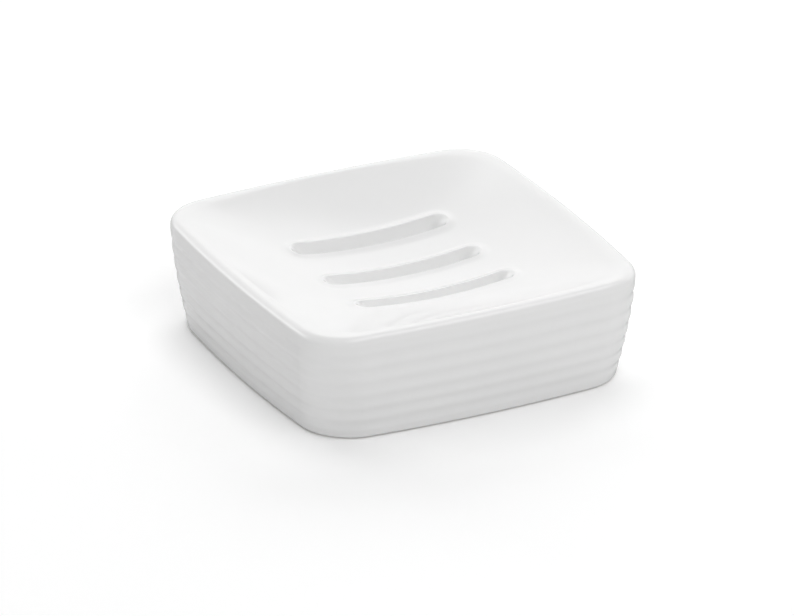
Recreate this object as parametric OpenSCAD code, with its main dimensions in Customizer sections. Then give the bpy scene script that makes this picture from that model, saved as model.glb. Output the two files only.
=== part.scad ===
// Square porcelain soap dish: a one-piece shell with softly ribbed walls, a shallow
// soap recess and parallel drain grooves, standing on four thin grip pads.
// Millimetres, +Z up. The origin is the centre of the footprint, on the table.

/* [Overall size] */
// Width and depth over the rim, at the middle of the sides
dish_w = 110; // [100:1:130]
// Height from the table to the top of the rim
dish_h = 33.4; // [31:0.2:44]
// Corner radius of the rim, seen from above
corner_r = 15; // [10:0.5:22]
// How far the middle of a side stands out past a straight line
side_bow = 1.45; // [0.3:0.05:3]

/* [Wall and foot] */
// Thickness of the side wall
wall_t = 5; // [4:0.1:7]
// How far the wall draws in from the rim down to the foot
foot_draw_in = 3.4; // [1:0.1:6]
// Corner radius of the foot, seen from above
foot_corner_r = 16.1; // [12:0.1:24]
// Corner radius of the hollow underneath
hollow_corner_r = 18; // [15:0.5:26]
// Rounding of the edges of the foot
foot_edge_r = 0.35; // [0.2:0.05:1.5]

/* [Ribs] */
// Depth of the lines between the thrown ribs
rib_depth = 0.28; // [0.1:0.02:0.8]

/* [Soap recess] */
// Depth of the recess in its middle, below the top of the rim
recess_depth = 9.6; // [6:0.2:13]
// Thickness of the floor under the recess
floor_t = 6.6; // [6:0.1:9]
// Rounding of the rim's outer edge
rim_r = 2.4; // [1.2:0.1:3.5]
// Width over which the rim rolls down into the recess
roll_w = 2.1; // [1:0.1:4]

/* [Drain grooves] */
// Number of grooves
groove_count = 3; // [2:1:4]
// Length of a groove between its end walls
groove_l = 50; // [36:0.2:56]
// Width of a groove between its walls
groove_w = 6.3; // [4:0.1:8]
// Depth of a groove below the recess
groove_depth = 3.8; // [2.6:0.1:4.8]
// Distance from one groove to the next
groove_pitch = 20.9; // [15:0.1:22]
// Corner radius of a groove's ends, seen from above
end_r = 3; // [1.6:0.1:3.1]
// How far a groove's ends slope inwards down to its floor
end_lean = 2.2; // [0:0.1:4.5]
// Rounding of a groove's lip
lip_r = 0.45; // [0.2:0.05:0.8]
// How far the lip stands up above the recess
lip_rise = 0.45; // [0.1:0.05:0.6]
// Width over which the recess rises to the lip
lip_spread = 3; // [1.5:0.1:3.4]
// Rounding where a groove's wall meets its floor
groove_fillet_r = 0.8; // [0.3:0.1:1]

/* [Grip pads] */
// Diameter of a grip pad
pad_d = 6; // [4:0.1:6.6]
// Thickness of a grip pad, which lifts the porcelain off the table
pad_t = 0.5; // [0.3:0.1:1.5]
// Bevel round a grip pad's lower edge
pad_bevel = 0.12; // [0.05:0.01:0.25]

/* [Hidden] */

// Colours of the glaze and of the pads
GLAZE = [0.93, 0.93, 0.92];
PAD = [0.80, 0.80, 0.78];

// Heights of the lines between the ribs, as shares of the height of the dish.
// The ribs widen a little from the foot to the rim, as thrown ones do.
rib_line_shares = [0.138, 0.262, 0.380, 0.513, 0.657, 0.796];
// Where the wall is drawn between one line and the next, as shares of that gap
rib_step_shares = [0, 0.17, 0.33, 0.5, 0.67, 0.83];
// How the wall's draw-in builds up: 1 is a straight taper, more bends it
wall_bend = 1.55;
// Share of the recess's rise that is a plain bowl, the rest turning up at the rim
bowl_share = 0.85;
// How late the recess turns from round in the middle to square at the rim
square_power = 4.6;
// How far a groove's walls lean in, as a share of its depth
groove_draft_share = 0.12;
// Length of the gridded middle of the recess, as a share of the way out past a groove's end
margin_share = 0.2;
// Radius in the hollow where the wall turns into the underside of the floor
hollow_r = wall_t;

// Steps along a corner, a side and a groove, from which every ring is drawn
corner_steps = 4;
row_steps = 18;
cell_steps = 6;
end_steps = 2;
column_steps = cell_steps * groove_count;
cell_ring = 2 * (row_steps + cell_steps);
ring_size = 2 * (row_steps + column_steps);

half_w = dish_w / 2;
foot_z = pad_t;
wall_top_z = dish_h - rim_r;
foot_top_z = foot_z + foot_edge_r;
recess_z = dish_h - recess_depth;

// The crest of the rim, where the recess has levelled off and the outer rounding begins
crest_half = half_w - rim_r;
crest_corner_r = corner_r - rim_r;
roll_from = 1 - roll_w / crest_half;

// An outline is a square with rounded corners whose sides are shallow arcs.
// half is its half width at the middle of a side, r its corner radius.
function side_radius(half, r) = (pow(half - r, 2) + pow(side_bow, 2)) / (2 * side_bow);
function corner_centre(half, r, big) = (sqrt(2 * pow(big - r, 2) - pow(big - half, 2)) - (big - half)) / 2;
function join_angle(half, c, big) = atan2(c, c + big - half);

// Point j of n along one side, from corner to corner: [along the side, out from the centre]
function side_point(j, n, half, r) =
    let (big = side_radius(half, r), c = corner_centre(half, r, big), join = join_angle(half, c, big))
    let (flat = n - 2 * corner_steps, bend = (45 - join) / corner_steps)
    j < corner_steps ? arc_point([-c, c], r, -45 + bend * j) :
    j <= corner_steps + flat ? arc_point([0, half - big], big, join * (2 * (j - corner_steps) / flat - 1)) :
    arc_point([c, c], r, join + bend * (j - corner_steps - flat));
function arc_point(centre, r, a) = [centre[0] + r * sin(a), centre[1] + r * cos(a)];

// The whole outline at height z, anticlockwise from the front left corner
function outline(half, r, z) = concat(
    [for (j = [0 : row_steps - 1]) let (p = side_point(j, row_steps, half, r)) [p[0], -p[1], z]],
    [for (j = [0 : column_steps - 1]) let (p = side_point(j, column_steps, half, r)) [p[1], p[0], z]],
    [for (j = [0 : row_steps - 1]) let (p = side_point(j, row_steps, half, r)) [-p[0], p[1], z]],
    [for (j = [0 : column_steps - 1]) let (p = side_point(j, column_steps, half, r)) [-p[1], -p[0], z]]
);

// How far the crest of the rim lies from the centre in the direction of p
crest_big = side_radius(crest_half, crest_corner_r);
crest_c = corner_centre(crest_half, crest_corner_r, crest_big);
crest_join = join_angle(crest_half, crest_c, crest_big);
crest_join_turn = atan2(crest_big * sin(crest_join), crest_half - crest_big + crest_big * cos(crest_join));
function crest_reach(p) =
    let (turn = atan2(min(abs(p[0]), abs(p[1])), max(abs(p[0]), abs(p[1]))))
    let (arc_centre = crest_half - crest_big)
    turn <= crest_join_turn
        ? arc_centre * cos(turn) + sqrt(pow(crest_big, 2) - pow(arc_centre * sin(turn), 2))
        : crest_c * (sin(turn) + cos(turn))
            + sqrt(pow(crest_corner_r, 2) - pow(crest_c * (cos(turn) - sin(turn)), 2));

// The way out: 0 in the middle of the recess and 1 on the crest. Its level lines are
// circles in the middle and take on the outline of the rim further out.
function way_out(p) = settle(norm([p[0], p[1]]), crest_reach(p), norm([p[0], p[1]]) / crest_half, 9);
function settle(d, reach, t, passes) = passes == 0 ? t :
    let (square = reach - crest_half)
    let (miss = crest_half * t + square * pow(t, square_power) - d)
    let (steep = crest_half + square_power * square * pow(t, square_power - 1))
    settle(d, reach, t - miss / steep, passes - 1);

// How high the recess has risen on the way out: it steepens, then levels off onto the crest
roll_slope = 2 * bowl_share * roll_from + 4 * (1 - bowl_share) * pow(roll_from, 3);
function bowl_rise(t) =
    let (inner = min(t, roll_from), past = max(t - roll_from, 0))
    bowl_share * pow(inner, 2) + (1 - bowl_share) * pow(inner, 4)
        + roll_slope * past * (1 - past / (2 * (1 - roll_from)));

// Height of the recess over a point, before the grooves are pressed in
function bowl_z(p) = recess_z + recess_depth * bowl_rise(way_out(p)) / bowl_rise(1);
function on_bowl(points, drop) = [for (p = points) [p[0], p[1], bowl_z(p) - drop]];

// The middle of the recess is a row of cells, one round each groove
cell_half = groove_l / 2 + margin_share * (crest_half - groove_l / 2);
function cell_x(j) = cell_half * (2 * j / row_steps - 1);
function cell_y(k) = groove_pitch * (k - groove_count / 2);
function cell_edge(k) = concat(
    [for (j = [0 : row_steps - 1]) [cell_x(j), cell_y(k)]],
    [for (j = [0 : cell_steps - 1]) [cell_x(row_steps), cell_y(k + j / cell_steps)]],
    [for (j = [0 : row_steps - 1]) [cell_x(row_steps - j), cell_y(k + 1)]],
    [for (j = [0 : cell_steps - 1]) [cell_x(0), cell_y(k + 1 - j / cell_steps)]]
);

// A groove's outline, grown by o and with its ends drawn in by lean, point for point with
// the edge of its cell
corner_in = min(end_r, groove_w / 2);
function groove_ring(k, o, lean) =
    let (y = cell_y(k + 0.5), straight = groove_l / 2 - corner_in - lean)
    let (there = [for (i = [0 : row_steps + cell_steps - 1]) groove_point(i, straight, corner_in + o)])
    concat([for (p = there) [p[0], y + p[1]]], [for (p = there) [-p[0], y - p[1]]]);
function groove_point(i, straight, r) =
    let (flat = groove_w / 2 - corner_in, past = (i - row_steps) * 3 / cell_steps)
    i < end_steps ? end_point([-straight, -flat], r, -45 + 45 * i / end_steps) :
    i <= row_steps - end_steps
        ? [straight * (2 * (i - end_steps) / (row_steps - 2 * end_steps) - 1), -flat - r] :
    i < row_steps ? end_point([straight, -flat], r, 45 * (i - row_steps + end_steps) / end_steps) :
    past < 1 ? end_point([straight, -flat], r, 45 + 45 * past) :
    past <= 2 ? [straight + r, flat * (2 * past - 3)] :
    end_point([straight, flat], r, 45 * past);
function end_point(centre, r, a) = [centre[0] + r * sin(a), centre[1] - r * cos(a)];

// From the edge of the cell up onto the raised lip, down the wall and round onto the floor
lip_slope = atan(2 * lip_rise / lip_spread);
lip_foot = lip_r * (1 + sin(lip_slope));
lip_crest = lip_rise + lip_r * (1 - cos(lip_slope));
lip_end = lip_r - lip_crest;
wall_end = groove_depth - groove_fillet_r;
lip_shares = [1, 0.5, 0];
lip_angles = [45, 90];
wall_shares = [0.3, 0.6];
fillet_angles = [0, 45, 90];
groove_draft = groove_draft_share * groove_depth;
// The ends run in quickly under the lip, then more and more steeply down to the floor
function lean_at(down) =
    let (share = (down + lip_crest) / (groove_depth + lip_crest))
    end_lean * share * (2 - share);
function groove_rings(k) = concat(
    [on_bowl(cell_edge(k), 0)],
    [for (s = lip_shares)
        on_bowl(groove_ring(k, lip_foot + lip_spread * s, 0), -lip_rise * pow(1 - s, 2))],
    [for (a = lip_angles) let (down = lip_r * (1 - cos(a)) - lip_crest)
        on_bowl(groove_ring(k, lip_r * (1 - sin(a)), lean_at(down)), down)],
    [for (s = wall_shares) let (down = lip_end + (wall_end - lip_end) * s)
        on_bowl(groove_ring(k, -groove_draft * s, lean_at(down)), down)],
    [for (a = fillet_angles) let (down = groove_depth - groove_fillet_r * (1 - sin(a)))
        on_bowl(groove_ring(k, -groove_draft - groove_fillet_r * (1 - cos(a)), lean_at(down)), down)]
);

// The cells' outer edge, one ring round them all
last_cell = groove_count - 1;
function part_of(list, from, count) = [for (i = [0 : count - 1]) list[from + i]];
cells_edge = concat(
    part_of(cell_edge(0), 0, row_steps),
    [for (k = [0 : last_cell]) each part_of(cell_edge(k), row_steps, cell_steps)],
    part_of(cell_edge(last_cell), row_steps + cell_steps, row_steps),
    [for (k = [0 : last_cell])
        each part_of(cell_edge(last_cell - k), 2 * row_steps + cell_steps, cell_steps)]
);

// Recess outside the cells, out to the crest of the rim
recess_step_shares = [0, 0.25, 0.5, 0.72, 0.86, 0.92, 0.96];
crest_outline = outline(crest_half, crest_corner_r, dish_h);
function between(a, b, share) = [for (i = [0 : len(a) - 1])
    [for (j = [0, 1]) a[i][j] + (b[i][j] - a[i][j]) * share]];
recess_rings = [for (s = recess_step_shares) on_bowl(between(cells_edge, crest_outline, s), 0)];

// Rim: round from its crest to the upright wall
rim_angles = [0, 22.5, 45, 67.5, 90];
rim_rings = [for (a = rim_angles)
    let (inset = rim_r * (1 - sin(a)))
    outline(half_w - inset, corner_r - inset, dish_h - rim_r * (1 - cos(a)))];

// Outer wall: how far it is drawn in at height z, and its corner radius there
function draw_in(z) = foot_draw_in * pow((wall_top_z - z) / (wall_top_z - foot_top_z), wall_bend);
function wall_corner_r(z) = corner_r + (foot_corner_r - corner_r) * draw_in(z) / foot_draw_in;
function wall_ring(z, cut) = outline(half_w - draw_in(z) - cut, wall_corner_r(z) - cut, z);

// Rib lines from the foot up, with a plain band above the last and below the first
rib_z = [for (s = rib_line_shares) s * dish_h];
rib_gap = rib_z[len(rib_z) - 1] - rib_z[len(rib_z) - 2];
foot_gap = min(2 * (rib_z[0] - foot_top_z), rib_z[1] - rib_z[0]);
rib_centres = concat([rib_z[0] - foot_gap], rib_z, [rib_z[len(rib_z) - 1] + rib_gap]);
rib_heights = concat(
    [for (i = [0 : len(rib_centres) - 2], s = rib_step_shares)
        let (z = rib_centres[i] + (rib_centres[i + 1] - rib_centres[i]) * s, first = i == 0)
        let (last = i == len(rib_centres) - 2)
        if (!(first && s < 0.5) && !(last && s > 0.5))
            [z, first && s == 0.5 || last && s == 0.5 ? 0 : rib_depth * (1 + cos(360 * s)) / 2]]
);
wall_rings = [for (i = [len(rib_heights) - 1 : -1 : 0])
    if (rib_heights[i][0] > foot_top_z + foot_edge_r / 2) wall_ring(rib_heights[i][0], rib_heights[i][1])];

// Foot: the outer edge rounded, a flat ring, the inner edge rounded
foot_angles = [0, 45, 90];
foot_half = half_w - foot_draw_in;
hollow_half = foot_half - wall_t;
foot_rings = concat(
    [for (a = foot_angles) let (inset = foot_edge_r * (1 - cos(a)))
        outline(foot_half - inset, foot_corner_r - inset, foot_top_z - foot_edge_r * sin(a))],
    [for (a = [90, 45]) let (out = foot_edge_r * (1 - cos(a)))
        outline(hollow_half + out, hollow_corner_r + out, foot_top_z - foot_edge_r * sin(a))]
);

// Hollow: its wall follows the outer one, then turns into the underside of the floor
hollow_top_z = dish_h - floor_t - hollow_r;
function hollow_ring(z) = outline(half_w - draw_in(z) - wall_t, hollow_corner_r, z);
hollow_shares = [0, 0.5, 1];
hollow_rings = [for (s = hollow_shares) hollow_ring(foot_top_z + (hollow_top_z - foot_top_z) * s)];
hollow_edge = hollow_ring(hollow_top_z);
ceiling_edge = [for (p = hollow_edge) p * (1 - hollow_r / norm([p[0], p[1]]))];
turn_shares = [0.33, 0.67];
turn_rings = [for (s = turn_shares)
    [for (i = [0 : ring_size - 1])
        let (a = hollow_edge[i], inner = ceiling_edge[i])
        let (b = [a[0], a[1], bowl_z(a) - floor_t], c = [inner[0], inner[1], bowl_z(inner) - floor_t])
        a * pow(1 - s, 2) + b * 2 * s * (1 - s) + c * pow(s, 2)]];
ceiling_shares = [1, 0.75, 0.5, 0.25];
ceiling_rings = [for (s = ceiling_shares) on_bowl([for (p = ceiling_edge) p * s], floor_t)];
ceiling_middle = [0, 0, recess_z - floor_t];

// Faces between one ring of n points and the next, the first point being number at
function band(at, n) = [for (i = [0 : n - 1])
    let (j = (i + 1) % n)
    each [[at + i, at + n + j, at + n + i], [at + i, at + j, at + n + j]]];
// The floor of a groove: its last ring, laced across from front to back
function floor_faces(at) =
    let (mirrored = 2 * row_steps + cell_steps)
    [for (i = [-cell_steps / 2 : row_steps + cell_steps / 2 - 1])
        let (a = wrap(i), b = wrap(i + 1), c = wrap(mirrored - i - 1), d = wrap(mirrored - i))
        each [if (b != c) [at + a, at + c, at + b], if (a != d) [at + a, at + d, at + c]]];
function wrap(i) = (i + cell_ring) % cell_ring;

function flatten(rings) = [for (r = rings) each r];

// One closed surface: the grooves first, then rings from the cells' edge out over the
// rim, down the ribs, under the foot and up inside to the middle of the ceiling
module dish_body() {
    cell_rings = len(groove_rings(0));
    cell_points = cell_rings * cell_ring;
    skin_rings = concat(
        recess_rings, rim_rings, wall_rings, foot_rings, hollow_rings, turn_rings, ceiling_rings
    );
    skin_start = groove_count * cell_points;
    middle = skin_start + len(skin_rings) * ring_size;
    last_ring = middle - ring_size;
    color(GLAZE) polyhedron(
        points = concat(
            [for (k = [0 : last_cell]) each flatten(groove_rings(k))],
            flatten(skin_rings),
            [ceiling_middle]
        ),
        faces = concat(
            [for (k = [0 : last_cell], r = [0 : cell_rings - 2])
                each inward(band(k * cell_points + r * cell_ring, cell_ring))],
            [for (k = [0 : last_cell])
                each floor_faces(k * cell_points + (cell_rings - 1) * cell_ring)],
            [for (r = [0 : len(skin_rings) - 2]) each band(skin_start + r * ring_size, ring_size)],
            [for (i = [0 : ring_size - 1]) [last_ring + i, last_ring + (i + 1) % ring_size, middle]]
        ),
        convexity = 6
    );
}
// Rings that run inwards turn their faces the other way round
function inward(faces) = [for (f = faces) [f[0], f[2], f[1]]];

// Grip pads, stuck to the foot in its corners, where the foot is widest
function corner_reach(half, r) = sqrt(2) * corner_centre(half, r, side_radius(half, r)) + r;
pad_reach = (corner_reach(foot_half, foot_corner_r) + corner_reach(hollow_half, hollow_corner_r)) / 2;
pad_x = pad_reach / sqrt(2);

module pad(side_x, side_y) {
    color(PAD) translate([side_x * pad_x, side_y * pad_x, 0])
        rotate_extrude($fn = 48) polygon([
            [0, 0],
            [pad_d / 2 - pad_bevel, 0],
            [pad_d / 2, pad_bevel],
            [pad_d / 2, pad_t],
            [0, pad_t]
        ]);
}

module pad_front_left() pad(-1, -1);
module pad_front_right() pad(1, -1);
module pad_rear_left() pad(-1, 1);
module pad_rear_right() pad(1, 1);

dish_body();
pad_front_left();
pad_front_right();
pad_rear_left();
pad_rear_right();
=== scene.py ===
import math

import bmesh
import bpy
import numpy as np
from mathutils import Matrix, Vector


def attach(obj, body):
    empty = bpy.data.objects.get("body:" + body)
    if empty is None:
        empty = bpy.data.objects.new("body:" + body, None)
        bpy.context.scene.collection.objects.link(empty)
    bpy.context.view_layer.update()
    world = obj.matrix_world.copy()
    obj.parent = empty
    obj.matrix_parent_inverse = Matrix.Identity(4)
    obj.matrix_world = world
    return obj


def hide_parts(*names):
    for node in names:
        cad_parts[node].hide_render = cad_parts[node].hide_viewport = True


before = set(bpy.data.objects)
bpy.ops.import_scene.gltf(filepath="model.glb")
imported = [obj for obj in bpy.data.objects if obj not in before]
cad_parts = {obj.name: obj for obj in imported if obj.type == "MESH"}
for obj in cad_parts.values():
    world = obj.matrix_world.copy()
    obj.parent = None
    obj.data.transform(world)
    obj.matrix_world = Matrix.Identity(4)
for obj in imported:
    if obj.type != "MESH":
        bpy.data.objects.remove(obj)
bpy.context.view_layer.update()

# A square porcelain soap dish. Lengths are in millimetres until a mesh is made.
MM = 0.001

# Sizes of the dish, the same as in its source
DISH_W = 110.0
DISH_H = 33.4
CORNER_R = 15.0
SIDE_BOW = 1.45
WALL_T = 5.0
FOOT_DRAW_IN = 3.4
FOOT_CORNER_R = 16.1
HOLLOW_CORNER_R = 18.0
FOOT_EDGE_R = 0.35
RIB_DEPTH = 0.28
RECESS_DEPTH = 9.6
FLOOR_T = 6.6
RIM_R = 2.4
ROLL_W = 2.1
GROOVE_COUNT = 3
GROOVE_L = 50.0
GROOVE_W = 6.3
GROOVE_DEPTH = 3.8
GROOVE_PITCH = 20.9
LIP_R = 0.45
LIP_RISE = 0.45
LIP_SPREAD = 3.0
END_R = 3.0
END_LEAN = 2.2
GROOVE_FILLET_R = 0.8
PAD_D = 6.0
PAD_T = 0.5
RIB_LINES = np.array([0.138, 0.262, 0.380, 0.513, 0.657, 0.796]) * DISH_H
WALL_BEND = 1.55
BOWL_SHARE = 0.85
SQUARE_POWER = 4.6
GROOVE_DRAFT = 0.12 * GROOVE_DEPTH
MARGIN_SHARE = 0.2

# How finely the glazed skin is drawn: points along a corner, a side and a groove
CORNER_STEPS = 20
ROW_STEPS = 98
CELL_STEPS = 32
END_STEPS = 12
COLUMN_STEPS = CELL_STEPS * GROOVE_COUNT
CELL_RING = 2 * (ROW_STEPS + CELL_STEPS)
RING = 2 * (ROW_STEPS + COLUMN_STEPS)

# Rings of points across the recess, which lie closer past a share of the way out to the crest
BOWL_RINGS = 24
CREST_RINGS = 11
CLOSER_FROM = 0.88
# Rings round the rim, down the wall, round the edge of the foot and across the hollow
RIM_RINGS = 17
WALL_RINGS = 76
FOOT_EDGE_RINGS = 6
HOLLOW_WALL_RINGS = 9
HOLLOW_ROUND_RINGS = 10
CEILING_RINGS = 13
CEILING_TO = 0.08
# Rings up the lip of a groove, over it and round onto the floor
LIP_RINGS = 7
LIP_ROUND_RINGS = 7
FILLET_RINGS = 7
# Shares of the way between two outlines
QUARTERS = (0.25, 0.5, 0.75)

HALF_W = DISH_W / 2
FOOT_Z = PAD_T
WALL_TOP_Z = DISH_H - RIM_R
FOOT_TOP_Z = FOOT_Z + FOOT_EDGE_R
RECESS_Z = DISH_H - RECESS_DEPTH
FOOT_HALF = HALF_W - FOOT_DRAW_IN
HOLLOW_HALF = FOOT_HALF - WALL_T
HOLLOW_R = WALL_T
CREST_HALF = HALF_W - RIM_R
CREST_CORNER_R = CORNER_R - RIM_R
ROLL_FROM = 1 - ROLL_W / CREST_HALF
LIP_SLOPE = math.atan(2 * LIP_RISE / LIP_SPREAD)
LIP_CREST = LIP_RISE + LIP_R * (1 - math.cos(LIP_SLOPE))


# An outline is a square with rounded corners whose sides are shallow arcs
def side_radius(half, r):
    return ((half - r) ** 2 + SIDE_BOW ** 2) / (2 * SIDE_BOW)


def corner_centre(half, r):
    big = side_radius(half, r)
    return (math.sqrt(2 * (big - r) ** 2 - (big - half) ** 2) - (big - half)) / 2


def side_points(n, half, r):
    """The first n points of a side, corner to corner: along the side, and out from the centre."""
    big, c = side_radius(half, r), corner_centre(half, r)
    join = math.atan2(c, c + big - half)
    flat = n - 2 * CORNER_STEPS
    j = np.arange(n)
    bend = (math.pi / 4 - join) / CORNER_STEPS
    first = -math.pi / 4 + bend * j
    middle = join * (2 * (j - CORNER_STEPS) / flat - 1)
    last = join + bend * (j - CORNER_STEPS - flat)
    in_first, in_middle = j < CORNER_STEPS, j <= CORNER_STEPS + flat
    along = np.where(in_first, -c + r * np.sin(first),
                     np.where(in_middle, big * np.sin(middle), c + r * np.sin(last)))
    out = np.where(in_first, c + r * np.cos(first),
                   np.where(in_middle, half - big + big * np.cos(middle), c + r * np.cos(last)))
    return along, out


def outline(half, r, z):
    """The whole outline at height z, anticlockwise from the front left corner."""
    row_along, row_out = side_points(ROW_STEPS, half, r)
    column_along, column_out = side_points(COLUMN_STEPS, half, r)
    x = np.concatenate([row_along, column_out, -row_along, -column_out])
    y = np.concatenate([-row_out, column_along, row_out, -column_along])
    return np.stack([x, y, np.full(RING, z)], 1)


def crest_reach(x, y):
    """How far the crest of the rim lies from the centre in the direction of a point."""
    big, c = side_radius(CREST_HALF, CREST_CORNER_R), corner_centre(CREST_HALF, CREST_CORNER_R)
    join = math.atan2(c, c + big - CREST_HALF)
    join_turn = math.atan2(big * math.sin(join), CREST_HALF - big + big * math.cos(join))
    turn = np.arctan2(np.minimum(abs(x), abs(y)), np.maximum(abs(x), abs(y)))
    s, k = np.sin(turn), np.cos(turn)
    side = (CREST_HALF - big) * k + np.sqrt(big ** 2 - ((CREST_HALF - big) * s) ** 2)
    corner = c * (s + k) + np.sqrt(np.maximum(CREST_CORNER_R ** 2 - (c * (k - s)) ** 2, 0))
    return np.where(turn <= join_turn, side, corner)


def bowl_rise(t):
    """How high the recess has risen, t of the way out: it steepens, then levels off at the rim."""
    inner, past = np.minimum(t, ROLL_FROM), np.maximum(t - ROLL_FROM, 0)
    slope = 2 * BOWL_SHARE * ROLL_FROM + 4 * (1 - BOWL_SHARE) * ROLL_FROM ** 3
    return (BOWL_SHARE * inner ** 2 + (1 - BOWL_SHARE) * inner ** 4
            + slope * past * (1 - past / (2 * (1 - ROLL_FROM))))


# Steps that bring the share of the way out to its exact value
SHARE_STEPS = 12


def bowl_z(x, y):
    """Height of the recess: its level lines are round in the middle and square at the rim."""
    d = np.hypot(x, y)
    square = crest_reach(x, y) - CREST_HALF
    t = d / CREST_HALF
    for _ in range(SHARE_STEPS):
        miss = CREST_HALF * t + square * t ** SQUARE_POWER - d
        t = t - miss / (CREST_HALF + SQUARE_POWER * square * t ** (SQUARE_POWER - 1))
    return RECESS_Z + RECESS_DEPTH * bowl_rise(t) / bowl_rise(1)


def on_bowl(xy, drop=0.0):
    """The points of a plan laid on the recess, or that far below it."""
    return np.column_stack([xy[:, 0], xy[:, 1], bowl_z(xy[:, 0], xy[:, 1]) - drop])


# The middle of the recess is a row of cells, one round each groove
GROOVE_STRAIGHT = GROOVE_L / 2 - END_R
CELL_HALF = GROOVE_L / 2 + MARGIN_SHARE * (CREST_HALF - GROOVE_L / 2)


def cell_edge(k):
    """The edge of cell k, anticlockwise from its front left corner."""
    row, column = np.arange(ROW_STEPS) / ROW_STEPS, np.arange(CELL_STEPS) / CELL_STEPS
    low, high = GROOVE_PITCH * (k - GROOVE_COUNT / 2), GROOVE_PITCH * (k + 1 - GROOVE_COUNT / 2)
    across, up = CELL_HALF * (2 * row - 1), low + (high - low) * column
    return np.concatenate([
        np.column_stack([across, np.full(ROW_STEPS, low)]),
        np.column_stack([np.full(CELL_STEPS, CELL_HALF), up]),
        np.column_stack([-across, np.full(ROW_STEPS, high)]),
        np.column_stack([np.full(CELL_STEPS, -CELL_HALF), low + high - up]),
    ])


def groove_ring(k, grow, lean=0.0):
    """A groove's outline, grown by that much, point for point with the edge of its cell."""
    r, flat = END_R + grow, GROOVE_W / 2 - END_R
    i = np.arange(ROW_STEPS + CELL_STEPS)
    at_end = (i - ROW_STEPS) / CELL_STEPS
    quarter = math.pi / 4
    arriving = quarter * (i - ROW_STEPS + END_STEPS) / END_STEPS
    round_end = quarter * (1 + np.clip(3 * at_end, 0, 1) + np.clip(3 * at_end - 2, 0, 1))
    turn = np.where(i < END_STEPS, -quarter * (1 - i / END_STEPS),
                    np.where(i < ROW_STEPS - END_STEPS, 0,
                             np.where(i < ROW_STEPS, arriving, round_end)))
    share = np.clip((i - END_STEPS) / (ROW_STEPS - 2 * END_STEPS), 0, 1)
    x = (GROOVE_STRAIGHT - lean) * (2 * share - 1) + r * np.sin(turn)
    y = flat * (2 * np.clip(3 * at_end - 1, 0, 1) - 1) - r * np.cos(turn)
    middle = GROOVE_PITCH * (k + 0.5 - GROOVE_COUNT / 2)
    return np.concatenate([np.column_stack([x, middle + y]), np.column_stack([-x, middle - y])])


def end_lean(down):
    """How far the ends of a groove have run inwards at that depth: quickly at first."""
    share = max((down + LIP_CREST) / (GROOVE_DEPTH + LIP_CREST), 0)
    return END_LEAN * share * (2 - share)


def groove_rings(k):
    """From the edge of the cell up onto the raised lip, down the wall and round onto the floor."""
    lip_foot = LIP_R * (1 + math.sin(LIP_SLOPE))
    edge, outer = cell_edge(k), groove_ring(k, lip_foot + LIP_SPREAD)
    rings = [on_bowl(edge + (outer - edge) * s) for s in (0,) + QUARTERS]
    for s in np.linspace(1, 0, LIP_RINGS):
        rings.append(on_bowl(groove_ring(k, lip_foot + LIP_SPREAD * s), -LIP_RISE * (1 - s) ** 2))
    for a in np.linspace(-LIP_SLOPE, math.pi / 2, LIP_ROUND_RINGS + 1)[1:]:
        down = LIP_R * (1 - math.cos(a)) - LIP_CREST
        rings.append(on_bowl(groove_ring(k, LIP_R * (1 - math.sin(a)), end_lean(down)), down))
    wall_from, wall_to = LIP_R - LIP_CREST, GROOVE_DEPTH - GROOVE_FILLET_R
    for s in QUARTERS:
        down = wall_from + (wall_to - wall_from) * s
        rings.append(on_bowl(groove_ring(k, -GROOVE_DRAFT * s, end_lean(down)), down))
    for a in np.radians(np.linspace(0, 90, FILLET_RINGS)):
        grow = -GROOVE_DRAFT - GROOVE_FILLET_R * (1 - math.cos(a))
        down = GROOVE_DEPTH - GROOVE_FILLET_R * (1 - math.sin(a))
        rings.append(on_bowl(groove_ring(k, grow, end_lean(down)), down))
    return rings


# How thickly the glaze pools on those rings: nothing up to the lip, then more down to the floor
GROOVE_POOL = ([0] * (1 + len(QUARTERS) + LIP_RINGS) + list(np.linspace(0, 0.15, LIP_ROUND_RINGS))
               + [0.35, 0.5, 0.65] + list(np.linspace(0.75, 1, FILLET_RINGS)))
# And how thickly on the lines between the ribs
RIB_POOL = 0.6


def cells_edge():
    """The cells' outer edge, one ring round them all."""
    cells = [cell_edge(k) for k in range(GROOVE_COUNT)]
    a, b = ROW_STEPS, ROW_STEPS + CELL_STEPS
    c = b + ROW_STEPS
    return np.concatenate([cells[0][:a]] + [cell[a:b] for cell in cells] + [cells[-1][b:c]]
                          + [cell[c:] for cell in reversed(cells)])


def waves(points, length, count, seed):
    """Smooth unevenness between about -1 and 1: waves of about one length, in all directions."""
    rng = np.random.default_rng(seed)
    total = np.zeros(len(points))
    for _ in range(count):
        direction = rng.normal(size=3)
        direction *= 2 * math.pi / (length * rng.uniform(0.7, 1.5) * np.linalg.norm(direction))
        total += np.sin(points @ direction + rng.uniform(0, 2 * math.pi))
    return total / math.sqrt(2 * count)


def draw_in(z):
    """How far the wall has drawn in towards the foot at height z."""
    return FOOT_DRAW_IN * ((WALL_TOP_Z - z) / (WALL_TOP_Z - FOOT_TOP_Z)) ** WALL_BEND


def rib_cut(z):
    """How deep the wall is cut at height z: 1 on a line between two ribs, 0 on a rib."""
    top, foot = RIB_LINES[-1] + (RIB_LINES[-1] - RIB_LINES[-2]), RIB_LINES[0]
    foot_gap = min(2 * (foot - FOOT_TOP_Z), RIB_LINES[1] - foot)
    centres = np.concatenate([[foot - foot_gap], RIB_LINES, [top]])
    place = np.interp(z, centres, np.arange(len(centres)))
    cut = (1 + np.cos(2 * math.pi * place)) / 2
    return np.where((place < 0.5) | (place > len(centres) - 1.5), 0, cut)


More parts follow.
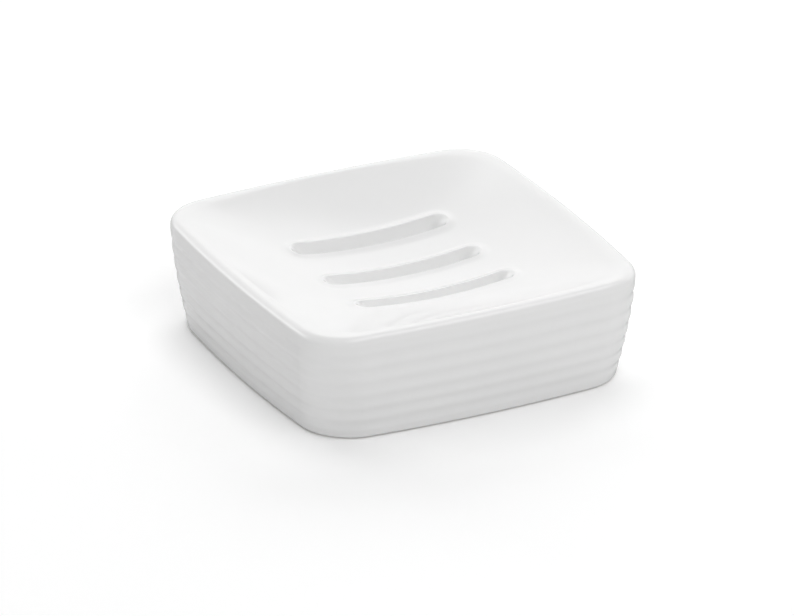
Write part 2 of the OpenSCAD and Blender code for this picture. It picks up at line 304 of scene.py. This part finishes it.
# The ribs wander a little in height, by so many millimetres, and in depth, by a share of it. Both
# change over a length, and the wandering fades out near the top and the foot of the wall.
RIB_WAVES = 10
RIB_WANDER = 0.1
RIB_WANDER_L = 26
RIB_WANDER_SEED = 11
RIB_WANDER_FADE = 2
RIB_UNEVEN = 0.12
RIB_UNEVEN_L = 18
RIB_UNEVEN_SEED = 12


def wall_ring(z):
    """One ring of the outer wall, ribs included, and how deep it lies between them."""
    share = draw_in(z) / FOOT_DRAW_IN
    r = CORNER_R + (FOOT_CORNER_R - CORNER_R) * share
    plain = outline(HALF_W - draw_in(z), r, z)
    fade = np.clip(min(z - FOOT_TOP_Z, WALL_TOP_Z - z) / RIB_WANDER_FADE, 0, 1)
    wander = waves(plain, RIB_WANDER_L, RIB_WAVES, RIB_WANDER_SEED)
    uneven = waves(plain, RIB_UNEVEN_L, RIB_WAVES, RIB_UNEVEN_SEED)
    depth = RIB_DEPTH * (1 - RIB_UNEVEN + RIB_UNEVEN * uneven)
    cut = rib_cut(z + RIB_WANDER * fade * wander)
    inner = outline(HALF_W - draw_in(z) - RIB_DEPTH, r - RIB_DEPTH, z)
    return plain + (inner - plain) * (cut * depth / RIB_DEPTH)[:, None], cut


def hollow_ring(z):
    """One ring of the hollow's wall, which runs parallel to the outer one."""
    return outline(HALF_W - draw_in(z) - WALL_T, HOLLOW_CORNER_R, z)


class Skin:
    """Rings of points and the faces between them, with two finishes noted at each point."""

    def __init__(self):
        self.points, self.pool, self.bare, self.faces = [], [], [], []
        self.count = 0

    def add(self, ring, pool=0.0, bare=0.0):
        start = self.count
        self.points.append(ring)
        self.pool.append(np.broadcast_to(pool, len(ring)))
        self.bare.append(np.broadcast_to(bare, len(ring)))
        self.count += len(ring)
        return start

    def join(self, a, b, n):
        """Faces between rings of n points that start at a and b, seen from outside."""
        for i in range(n):
            j = (i + 1) % n
            self.faces.append((a + i, a + j, b + j, b + i))


def groove(skin, k):
    """One drain groove with its lip, out to the edge of its cell."""
    rings = groove_rings(k)
    starts = [skin.add(ring, pool) for ring, pool in zip(rings, GROOVE_POOL)]
    for outer, inner in zip(starts, starts[1:]):
        skin.join(outer, inner, CELL_RING)
    groove_floor(skin, starts[-1], rings[-1])


def groove_floor(skin, at, ring):
    """The floor, laced across from front to back, with points of its own between its edges."""
    mirrored = 2 * ROW_STEPS + CELL_STEPS
    half = CELL_STEPS // 2
    lines = []
    for i in range(-half, ROW_STEPS + half + 1):
        a, b = i % CELL_RING, (mirrored - i) % CELL_RING
        if a == b:
            lines.append([at + a])
            continue
        between = [ring[a][:2] + (ring[b][:2] - ring[a][:2]) * s for s in QUARTERS]
        start = skin.add(on_bowl(np.array(between), GROOVE_DEPTH), 1.0)
        lines.append([at + a, start, start + 1, start + 2, at + b])
    for near, far in zip(lines, lines[1:]):
        if len(near) == 1:
            near = near * len(far)
        if len(far) == 1:
            far = far * len(near)
        for (a, b), (d, c) in zip(zip(near, near[1:]), zip(far, far[1:])):
            face = list(dict.fromkeys((a, d, c, b)))
            if len(face) > 2:
                skin.faces.append(tuple(face))


def glazed_skin():
    """The whole closed surface of the dish, from its grooves out over the rim and up inside."""
    skin = Skin()
    for k in range(GROOVE_COUNT):
        groove(skin, k)
    starts = []

    def ring(points, pool=0.0, bare=0.0):
        starts.append(skin.add(points, pool, bare))

    # The recess, from the grooves out to the crest of the rim
    cells, crest = cells_edge(), outline(CREST_HALF, CREST_CORNER_R, DISH_H)[:, :2]
    for s in np.linspace(0, CLOSER_FROM, BOWL_RINGS):
        ring(on_bowl(cells + (crest - cells) * s))
    for s in np.linspace(CLOSER_FROM, 1, CREST_RINGS)[1:-1]:
        ring(on_bowl(cells + (crest - cells) * s))

    # The rim and the ribbed wall
    for a in np.linspace(0, math.pi / 2, RIM_RINGS):
        inset = RIM_R * (1 - math.sin(a))
        ring(outline(HALF_W - inset, CORNER_R - inset, DISH_H - RIM_R * (1 - math.cos(a))))
    for z in np.linspace(WALL_TOP_Z, FOOT_TOP_Z, WALL_RINGS)[1:-1]:
        points, cut = wall_ring(z)
        ring(points, RIB_POOL * cut)

    # The foot, bare from the middle of its rounded edges on
    edge_turns = np.radians(np.linspace(0, 90, FOOT_EDGE_RINGS))
    for a in edge_turns:
        inset = FOOT_EDGE_R * (1 - math.cos(a))
        z = FOOT_TOP_Z - FOOT_EDGE_R * math.sin(a)
        ring(outline(FOOT_HALF - inset, FOOT_CORNER_R - inset, z), 0, math.sin(a) ** 2)
    outer = outline(FOOT_HALF - FOOT_EDGE_R, FOOT_CORNER_R - FOOT_EDGE_R, FOOT_Z)
    inner = outline(HOLLOW_HALF + FOOT_EDGE_R, HOLLOW_CORNER_R + FOOT_EDGE_R, FOOT_Z)
    for s in QUARTERS:
        ring(outer + (inner - outer) * s, 0, 1)
    for a in edge_turns[:0:-1]:
        out = FOOT_EDGE_R * (1 - math.cos(a))
        z = FOOT_TOP_Z - FOOT_EDGE_R * math.sin(a)
        ring(outline(HOLLOW_HALF + out, HOLLOW_CORNER_R + out, z), 0, math.sin(a) ** 2)

    # The hollow: its wall, the round up to its ceiling, and the ceiling in to the middle
    top_z = DISH_H - FLOOR_T - HOLLOW_R
    for s in np.linspace(0, 1, HOLLOW_WALL_RINGS):
        ring(hollow_ring(FOOT_TOP_Z + (top_z - FOOT_TOP_Z) * s))
    wall = hollow_ring(top_z)
    ceiling = wall * (1 - HOLLOW_R / np.hypot(wall[:, 0], wall[:, 1]))[:, None]
    corner, onto = on_bowl(wall[:, :2], FLOOR_T), on_bowl(ceiling[:, :2], FLOOR_T)
    for s in np.linspace(0, 1, HOLLOW_ROUND_RINGS)[1:-1]:
        ring(wall * (1 - s) ** 2 + corner * 2 * s * (1 - s) + onto * s ** 2)
    for s in np.linspace(1, CEILING_TO, CEILING_RINGS):
        ring(on_bowl(ceiling[:, :2] * s, FLOOR_T))
    for a, b in zip(starts, starts[1:]):
        skin.join(b, a, RING)
    middle = skin.add(np.array([[0, 0, RECESS_Z - FLOOR_T]]))
    last = starts[-1]
    skin.faces += [(last + (i + 1) % RING, last + i, middle) for i in range(RING)]
    return skin


def piece(name, points, faces):
    """A smooth mesh object in metres, from points in millimetres."""
    mesh = bpy.data.meshes.new(name)
    mesh.from_pydata((np.asarray(points) * MM).tolist(), [], faces)
    mesh.update()
    mesh.polygons.foreach_set("use_smooth", [True] * len(mesh.polygons))
    made = bpy.data.objects.new(name, mesh)
    bpy.context.scene.collection.objects.link(made)
    return made


def note(mesh, name, values):
    """Notes a value at each point of the mesh, for its material to read."""
    layer = mesh.attributes.new(name, "FLOAT", "POINT")
    layer.data.foreach_set("value", values.astype(np.float32))


def weld(mesh, distance):
    """Joins the points that fall together and turns the faces outwards."""
    work = bmesh.new()
    work.from_mesh(mesh)
    bmesh.ops.remove_doubles(work, verts=work.verts, dist=distance * MM)
    bmesh.ops.recalc_face_normals(work, faces=work.faces)
    work.to_mesh(mesh)
    work.free()


# The glaze settles unevenly by a few hundredths of a millimetre, in broad and in finer waves, each
# with its share, its length and its seed. It thins out to nothing over the height above the foot.
GLAZE_UNEVEN = 0.03
GLAZE_WAVES = ((0.65, 22, 21), (0.35, 9, 22))
GLAZE_WAVE_COUNT = 14
GLAZE_FROM_FOOT = 1.5


def settle_glaze(made):
    """Lets the glaze lie a little lower here and there, never above the plain surface."""
    mesh = made.data
    n = len(mesh.vertices)
    points, normals = np.empty(3 * n), np.empty(3 * n)
    mesh.vertices.foreach_get("co", points)
    mesh.vertices.foreach_get("normal", normals)
    points, normals = points.reshape(-1, 3) / MM, normals.reshape(-1, 3)
    uneven = sum(share * waves(points, length, GLAZE_WAVE_COUNT, seed)
                 for share, length, seed in GLAZE_WAVES)
    sunk = GLAZE_UNEVEN * np.clip(0.5 + 0.5 * uneven, 0, 1)
    glazed = np.clip((points[:, 2] - FOOT_Z) / GLAZE_FROM_FOOT, 0, 1)
    points = points - normals * (sunk * glazed)[:, None]
    mesh.vertices.foreach_set("co", (points * MM).ravel())
    mesh.update()


# Shader maths
class Field:
    """A number that varies over a surface. Sums and products of fields add Math nodes."""

    def __init__(self, paint, socket):
        self.paint, self.socket = paint, socket

    def _math(self, operation, a, b):
        node = self.paint.node("ShaderNodeMath", {"operation": operation}, {0: a, 1: b})
        return Field(self.paint, node.outputs[0])

    def __add__(self, other):
        return self._math("ADD", self, other)

    def __radd__(self, other):
        return self._math("ADD", other, self)

    def __sub__(self, other):
        return self._math("SUBTRACT", self, other)

    def __rsub__(self, other):
        return self._math("SUBTRACT", other, self)

    def __mul__(self, other):
        return self._math("MULTIPLY", self, other)

    def __rmul__(self, other):
        return self._math("MULTIPLY", other, self)

    def step(self, low, high):
        """0 below low, 1 above high, smooth between."""
        node = self.paint.node("ShaderNodeMapRange", {"interpolation_type": "SMOOTHSTEP"},
                               {"Value": self, "From Min": low, "From Max": high})
        return Field(self.paint, node.outputs["Result"])


class Paint:
    """The nodes of a material, or of the world round the dish."""

    def __init__(self, owner):
        self.owner = owner
        owner.use_nodes = True
        self.tree = owner.node_tree
        self.tree.nodes.clear()

    def node(self, kind, settings=None, values=None):
        made = self.tree.nodes.new(kind)
        for key, value in (settings or {}).items():
            setattr(made, key, value)
        for key, value in (values or {}).items():
            if isinstance(value, Field):
                value = value.socket
            if isinstance(value, bpy.types.NodeSocket):
                self.tree.links.new(value, made.inputs[key])
            else:
                made.inputs[key].default_value = value
        return made

    def noise(self, size, detail=2.0):
        """Noise whose features are about that many millimetres across."""
        place = self.node("ShaderNodeTexCoord").outputs["Object"]
        made = self.node("ShaderNodeTexNoise", None, {
            "Vector": place, "Scale": 1 / (size * MM), "Detail": detail})
        return Field(self, made.outputs["Fac"])

    def noted(self, name):
        """A value noted at the points of the mesh."""
        made = self.node("ShaderNodeAttribute", {"attribute_name": name})
        return Field(self, made.outputs["Fac"])

    def mix(self, share, a, b):
        """A colour between a and b."""
        made = self.node("ShaderNodeMix", {"data_type": "RGBA"}, {0: share, 6: a, 7: b})
        return made.outputs[2]

    def bump(self, height, depth):
        """Surface relief, depth in millimetres."""
        return self.node("ShaderNodeBump", None, {
            "Height": height, "Distance": depth * MM}).outputs["Normal"]

    def surface(self, values):
        shader = self.node("ShaderNodeBsdfPrincipled", None, values)
        self.node("ShaderNodeOutputMaterial", None, {"Surface": shader.outputs[0]})
        return self.owner


# Colours of the glaze, of the bare porcelain and of the pads, each a pale and a darker one
GLAZE_THIN, GLAZE_THICK = (0.885, 0.885, 0.883, 1), (0.855, 0.857, 0.858, 1)
BISCUIT_PALE, BISCUIT_DARK = (0.80, 0.785, 0.755, 1), (0.72, 0.70, 0.665, 1)
RUBBER_PALE, RUBBER_DARK = (0.74, 0.74, 0.72, 1), (0.66, 0.66, 0.63, 1)
# How much thicker than elsewhere the glaze looks where it pools and in faint clouds
POOL_SHARE = 0.15
CLOUD_SHARE = 0.2


def porcelain():
    """White glaze over porcelain, with a bare, matt foot."""
    paint = Paint(bpy.data.materials.new("porcelain_glaze"))
    grain = paint.noise(0.35, 3)
    bare = (paint.noted("bare") + 0.25 * (paint.noise(3.5) - 0.5)).step(0.55, 0.72)
    cloud = paint.noise(16, 3).step(0.3, 0.7)
    thick = paint.noted("pool") * POOL_SHARE + cloud * CLOUD_SHARE
    glaze = paint.mix(thick, GLAZE_THIN, GLAZE_THICK)
    biscuit = paint.mix(paint.noise(1.2, 4).step(0.35, 0.7), BISCUIT_PALE, BISCUIT_DARK)
    return paint.surface({
        "Base Color": paint.mix(bare, glaze, biscuit),
        "Roughness": 0.045 + 0.02 * cloud + bare * 0.7,
        "IOR": 1.5,
        "Normal": paint.bump(grain * bare, 0.06),
    })


def pad_rubber():
    """Pale rubber with a fine moulded grain."""
    paint = Paint(bpy.data.materials.new("pad_rubber"))
    speck = paint.noise(0.5, 4)
    return paint.surface({
        "Base Color": paint.mix(speck.step(0.3, 0.75), RUBBER_PALE, RUBBER_DARK),
        "Roughness": 0.5 + 0.2 * speck,
        "IOR": 1.45,
        "Normal": paint.bump(speck, 0.03),
    })


# A pad stands on a narrow ring, with a rounded edge outside it and a dished face inside it
PAD_EDGE_R = 0.2
PAD_RING_W = 0.3
PAD_FACE_IN = 0.9
PAD_FACE_SLOPE_W = 0.2
PAD_FACE_DEPTH = 0.05
PAD_STEPS = 64
PAD_FACE_RINGS = 6
PAD_FACE_TO = 0.08


def pad(side_x, side_y):
    """A stuck-on grip pad: a moulded disc with a rounded rim and a shallow dished face."""
    foot_in = corner_centre(FOOT_HALF, FOOT_CORNER_R) * math.sqrt(2) + FOOT_CORNER_R
    hollow_in = corner_centre(HOLLOW_HALF, HOLLOW_CORNER_R) * math.sqrt(2) + HOLLOW_CORNER_R
    x = (foot_in + hollow_in) / 2 / math.sqrt(2)
    r = PAD_D / 2
    face, ring = r - PAD_FACE_IN, r - PAD_EDGE_R
    profile = [(s * face, PAD_FACE_DEPTH) for s in np.linspace(PAD_FACE_TO, 1, PAD_FACE_RINGS)]
    profile += [(face + PAD_FACE_SLOPE_W * s, PAD_FACE_DEPTH * (1 + math.cos(math.pi * s)) / 2)
                for s in QUARTERS + (1,)]
    profile += [(ring - PAD_RING_W, 0), (ring, 0)]
    profile += [(ring + PAD_EDGE_R * math.sin(a), PAD_EDGE_R - PAD_EDGE_R * math.cos(a))
                for a in np.radians(np.arange(15, 91, 15))]
    profile += [(r, (PAD_EDGE_R + PAD_T) / 2), (r, PAD_T), (r * 0.6, PAD_T), (r * 0.2, PAD_T)]
    turn = np.arange(PAD_STEPS) * 2 * math.pi / PAD_STEPS
    cx, cy = side_x * x, side_y * x
    points = np.concatenate([
        np.column_stack([cx + out * np.cos(turn), cy + out * np.sin(turn), np.full(PAD_STEPS, z)])
        for out, z in profile
    ] + [[(cx, cy, PAD_FACE_DEPTH), (cx, cy, PAD_T)]])
    around = [(i, (i + 1) % PAD_STEPS) for i in range(PAD_STEPS)]
    starts = [PAD_STEPS * k for k in range(len(profile))]
    faces = [(a + i, a + j, b + j, b + i) for a, b in zip(starts, starts[1:]) for i, j in around]
    low, high = PAD_STEPS * len(profile), PAD_STEPS * len(profile) + 1
    faces += [(j, i, low) for i, j in around]
    faces += [(starts[-1] + i, starts[-1] + j, high) for i, j in around]
    return points, faces


# Points closer than this are one
DISH_WELD = 0.002
PAD_WELD = 0.0005

# The dish
skin = glazed_skin()
dish = piece("glazed_dish", np.concatenate(skin.points), skin.faces)
note(dish.data, "pool", np.concatenate(skin.pool))
note(dish.data, "bare", np.concatenate(skin.bare))
weld(dish.data, DISH_WELD)
settle_glaze(dish)
dish.data.materials.append(porcelain())
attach(dish, "root")
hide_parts("dish_body")

# The pads under its corners
rubber = pad_rubber()
for depth, side_y in (("front", -1), ("rear", 1)):
    for hand, side_x in (("left", -1), ("right", 1)):
        disc = piece(f"grip_pad_{depth}_{hand}", *pad(side_x, side_y))
        weld(disc.data, PAD_WELD)
        disc.data.materials.append(rubber)
        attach(disc, "root")
        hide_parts(f"pad_{depth}_{hand}")


# Light, floor and camera
def ray_kind(paint, *kinds):
    """1 for rays of these kinds and 0 for all others."""
    path = paint.node("ShaderNodeLightPath")
    total = Field(paint, path.outputs[kinds[0]])
    for kind in kinds[1:]:
        total = total + Field(paint, path.outputs[kind])
    return total.step(0, 1)


# White that the table adds for the camera, and not to the light on the dish
FLOOR_GLOW = 0.13
# How white the table is, and how white the glaze mirrors it
TABLE_WHITE = 0.92
TABLE_MIRRORED = 0.65
TABLE_HALF = 4000


def floor_sheet():
    """A white table top that runs out of the picture."""
    paint = Paint(bpy.data.materials.new("white_table"))
    white, dull = (paint.node("ShaderNodeBsdfDiffuse", None, {"Color": (v, v, v, 1)}).outputs[0]
                   for v in (TABLE_WHITE, TABLE_MIRRORED))
    mirrored = ray_kind(paint, "Is Glossy Ray")
    lit = paint.node("ShaderNodeMixShader", None, {0: mirrored, 1: white, 2: dull})
    seen = ray_kind(paint, "Is Camera Ray", "Is Transmission Ray")
    glow = paint.node("ShaderNodeEmission", None, {"Strength": seen * FLOOR_GLOW})
    both = paint.node("ShaderNodeAddShader", None, {0: lit.outputs[0], 1: glow.outputs[0]})
    paint.node("ShaderNodeOutputMaterial", None, {"Surface": both.outputs[0]})
    corners = [(x * TABLE_HALF, y * TABLE_HALF, 0) for x, y in ((-1, -1), (1, -1), (1, 1), (-1, 1))]
    made = piece("table_top", corners, [(0, 1, 2, 3)])
    made.data.materials.append(paint.owner)


# What the glaze mirrors of the studio: a plain grey and bright windows in it. A window has the
# azimuth of its middle, from behind the dish towards its right, how its brightness fades at its
# sides, from where to where it rises and fades in height, and its strength.
STUDIO_GREY = 0.3
STUDIO_WINDOWS = {
    "behind_low": (15, (0.3, 0.6), (-0.02, 0.06), (0.2, 0.35), 0.75),
    "behind_high": (15, (0.1, 0.5), (0.2, 0.35), (0.62, 0.78), 0.95),
    "behind_left": (-45, (0.75, 0.95), (0.05, 0.25), (0.5, 0.7), 2.5),
    "front_high": (135, (0.15, 0.35), (0.8, 0.86), (0.97, 0.99), 3.0),
}


def towards(azimuth, height):
    """The direction of that azimuth, from behind the dish towards its right, and that height."""
    a, h = math.radians(azimuth), math.radians(height)
    return Vector((math.sin(a) * math.cos(h), math.cos(a) * math.cos(h), math.sin(h)))


def sky():
    """White behind the dish, and for mirror images the windows of a studio."""
    paint = Paint(bpy.data.worlds.new("studio"))
    bpy.context.scene.world = paint.owner
    way = paint.node("ShaderNodeTexCoord").outputs["Generated"]

    def along(direction):
        made = paint.node("ShaderNodeVectorMath", {"operation": "DOT_PRODUCT"},
                          {0: way, 1: direction})
        return Field(paint, made.outputs["Value"])

    up = along((0, 0, 1))
    studio = STUDIO_GREY
    for azimuth, sides, rise, fade, strength in STUDIO_WINDOWS.values():
        window = along(towards(azimuth, 0)).step(*sides) * up.step(*rise) * (1 - up.step(*fade))
        studio = studio + window * strength
    seen = ray_kind(paint, "Is Camera Ray", "Is Transmission Ray")
    mirrored = ray_kind(paint, "Is Glossy Ray")
    back = paint.node("ShaderNodeBackground", None, {
        "Color": (1, 1, 1, 1), "Strength": seen + mirrored * studio})
    paint.node("ShaderNodeOutputWorld", None, {"Surface": back.outputs[0]})


# Soft lamps round the dish, each with its azimuth and height in degrees, how tall it is and watts
LAMP_DISTANCE = 1600
LAMP_WIDTH = 1100
LAMP_AIM = Vector((0, 0, 20))
LAMPS = {
    "behind_low": (0, 10, 500, 3.0),
    "behind": (0, 28, 1100, 5.5),
    "behind_right": (45, 28, 1100, 9.7),
    "overhead": (0, 74, 1100, 8.0),
    "right_low": (105, 12, 500, 2.4),
    "front_right_high": (135, 55, 1100, 3.8),
    "front_high": (180, 55, 1100, 7.4),
    "front": (195, 28, 1100, 5.3),
    "left_low": (285, 12, 500, 5.1),
}


def lamp(name, azimuth, height, tall, watts):
    """A flat lamp that lights the glaze but leaves no hard-edged mirror image in it."""
    place = towards(azimuth, height) * LAMP_DISTANCE
    light = bpy.data.lights.new(name, "AREA")
    light.shape = "RECTANGLE"
    light.size, light.size_y = LAMP_WIDTH * MM, tall * MM
    light.energy = watts
    made = bpy.data.objects.new(name, light)
    made.visible_glossy = False
    made.location = place * MM
    made.rotation_euler = (LAMP_AIM - place).to_track_quat("-Z", "Y").to_euler()
    bpy.context.scene.collection.objects.link(made)


def camera(azimuth, elevation, roll, distance, lens, target):
    """A camera that looks at target from that side: azimuth from the front, roll anticlockwise."""
    a, e, t = math.radians(azimuth), math.radians(elevation), math.radians(roll)
    back = Vector((math.sin(a) * math.cos(e), -math.cos(a) * math.cos(e), math.sin(e)))
    right = Vector((math.cos(a), math.sin(a), 0))
    up = back.cross(right)
    right, up = right * math.cos(t) + up * math.sin(t), up * math.cos(t) - right * math.sin(t)
    data = bpy.data.cameras.new("camera")
    data.sensor_width = 36
    data.lens = lens
    data.clip_end = 50
    made = bpy.data.objects.new("camera", data)
    turned = Matrix((right, up, back)).transposed().to_4x4()
    made.matrix_world = Matrix.Translation((Vector(target) + back * distance) * MM) @ turned
    bpy.context.scene.collection.objects.link(made)
    bpy.context.scene.camera = made


floor_sheet()
sky()
for name, (azimuth, height, tall, watts) in LAMPS.items():
    lamp(name, azimuth, height, tall, watts)
camera(azimuth=-27.16, elevation=25.06, roll=0.34, distance=3336, lens=525.58,
       target=(-3.73, -4.43, 15))
bpy.context.scene.view_settings.view_transform = "Standard"
